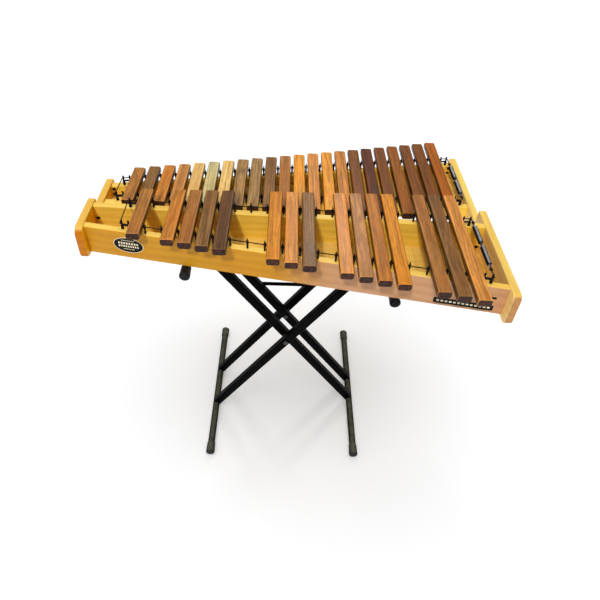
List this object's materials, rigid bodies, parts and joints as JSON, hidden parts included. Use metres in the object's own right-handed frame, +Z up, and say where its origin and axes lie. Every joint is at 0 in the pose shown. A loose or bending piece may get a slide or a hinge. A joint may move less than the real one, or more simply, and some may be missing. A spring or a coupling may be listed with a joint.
{
  "type": "xylophone",
  "caption": "Tapered practice xylophone: rosewood bars hung on cords over a wooden frame, the sharps raised, resting on a folding crossed-leg stand of black steel tube.",
  "frame": {"origin": "on the floor, under the centre of the whole instrument's box", "axes": "+X from the shortest bars to the longest, along the instrument; +Y from the audience's side with the raised row to the player's side; +Z up"},
  "size_m": [1.203, 0.8618, 0.9715],
  "materials": {
    "bar_rosewood": "satin lacquer, figured brown to orange",
    "frame_wood": "clear satin lacquer over pale softwood",
    "floor_board": "clear lacquer over thin board",
    "screw_black": "black phosphate",
    "post_black": "black, soft sleeve over steel",
    "cord_black": "braided cord",
    "spring_steel": "blackened spring wire",
    "stand_tube": "semi-gloss black powder coat",
    "cap_rubber": "moulded rubber",
    "bolt_black": "black zinc, worn bright at the rims",
    "stay_steel": "black paint over flat steel strip"
  },
  "bodies": {
    "left_foot": {"outer_foot": "stand_tube", "outer_foot_caps": "cap_rubber"},
    "outer_frame": {"outer_legs": "stand_tube", "pivot_bolts": "bolt_black"},
    "right_arm": {"outer_arm": "stand_tube", "outer_arm_caps": "cap_rubber"},
    "keyboard": {"natural_bar_01": "bar_rosewood", "natural_bar_02": "bar_rosewood", "natural_bar_03": "bar_rosewood", "natural_bar_04": "bar_rosewood", "natural_bar_05": "bar_rosewood", "natural_bar_06": "bar_rosewood", "natural_bar_07": "bar_rosewood", "natural_bar_08": "bar_rosewood", "natural_bar_09": "bar_rosewood", "natural_bar_10": "bar_rosewood", "natural_bar_11": "bar_rosewood", "natural_bar_12": "bar_rosewood", "natural_bar_13": "bar_rosewood", "natural_bar_14": "bar_rosewood", "natural_bar_15": "bar_rosewood", "natural_bar_16": "bar_rosewood", "natural_bar_17": "bar_rosewood", "natural_bar_18": "bar_rosewood", "natural_bar_19": "bar_rosewood", "natural_bar_20": "bar_rosewood", "natural_bar_21": "bar_rosewood", "natural_bar_22": "bar_rosewood", "accidental_bar_01": "bar_rosewood", "accidental_bar_02": "bar_rosewood", "accidental_bar_03": "bar_rosewood", "accidental_bar_04": "bar_rosewood", "accidental_bar_05": "bar_rosewood", "accidental_bar_06": "bar_rosewood", "accidental_bar_07": "bar_rosewood", "accidental_bar_08": "bar_rosewood", "accidental_bar_09": "bar_rosewood", "accidental_bar_10": "bar_rosewood", "accidental_bar_11": "bar_rosewood", "accidental_bar_12": "bar_rosewood", "accidental_bar_13": "bar_rosewood", "accidental_bar_14": "bar_rosewood", "accidental_bar_15": "bar_rosewood", "front_rail": "frame_wood", "accidental_inner_rail": "frame_wood", "natural_inner_rail": "frame_wood", "rear_rail": "frame_wood", "end_board_left": "frame_wood", "end_board_right": "frame_wood", "floor_panels": "floor_board", "frame_screws": "screw_black", "cord_posts": "post_black", "accidental_cord": "cord_black", "natural_cord": "cord_black", "cord_springs": "spring_steel"},
    "inner_frame": {"inner_legs": "stand_tube", "inner_foot": "stand_tube", "inner_arm": "stand_tube", "inner_caps": "cap_rubber"},
    "stay": {"stay_bar": "stay_steel"}
  },
  "joints": [
    {"name": "stand_fold", "type": "hinge", "parent": "left_foot", "child": "outer_frame", "pos_m": [-0.264, -0.0091, 0.0155], "axis": [0, -1, 0], "range_deg": [0, 29]},
    {"name": "arm_level", "type": "hinge", "parent": "outer_frame", "child": "right_arm", "pos_m": [0.3, -0.0091, 0.8292], "axis": [0, -1, 0], "range_deg": [-29, 0]},
    {"name": "lift_off", "type": "slide", "parent": "right_arm", "child": "keyboard", "axis": [0, 0, 1], "range_m": [0, 0.25]},
    {"name": "scissor_pivot", "type": "hinge", "parent": "outer_frame", "child": "inner_frame", "pos_m": [0.003, -0.0091, 0.40071], "axis": [0, -1, 0], "range_deg": [-58, 0]},
    {"name": "stay_swing", "type": "hinge", "parent": "inner_frame", "child": "stay", "pos_m": [-0.09355, 0.0541, 0.54], "axis": [0, -1, 0], "range_deg": [0, 29]}
  ],
  "couplings": [
    {"joint": "arm_level", "follows": "stand_fold", "ratio": -1},
    {"joint": "scissor_pivot", "follows": "stand_fold", "ratio": -2},
    {"joint": "stay_swing", "follows": "stand_fold", "ratio": 1}
  ]
}
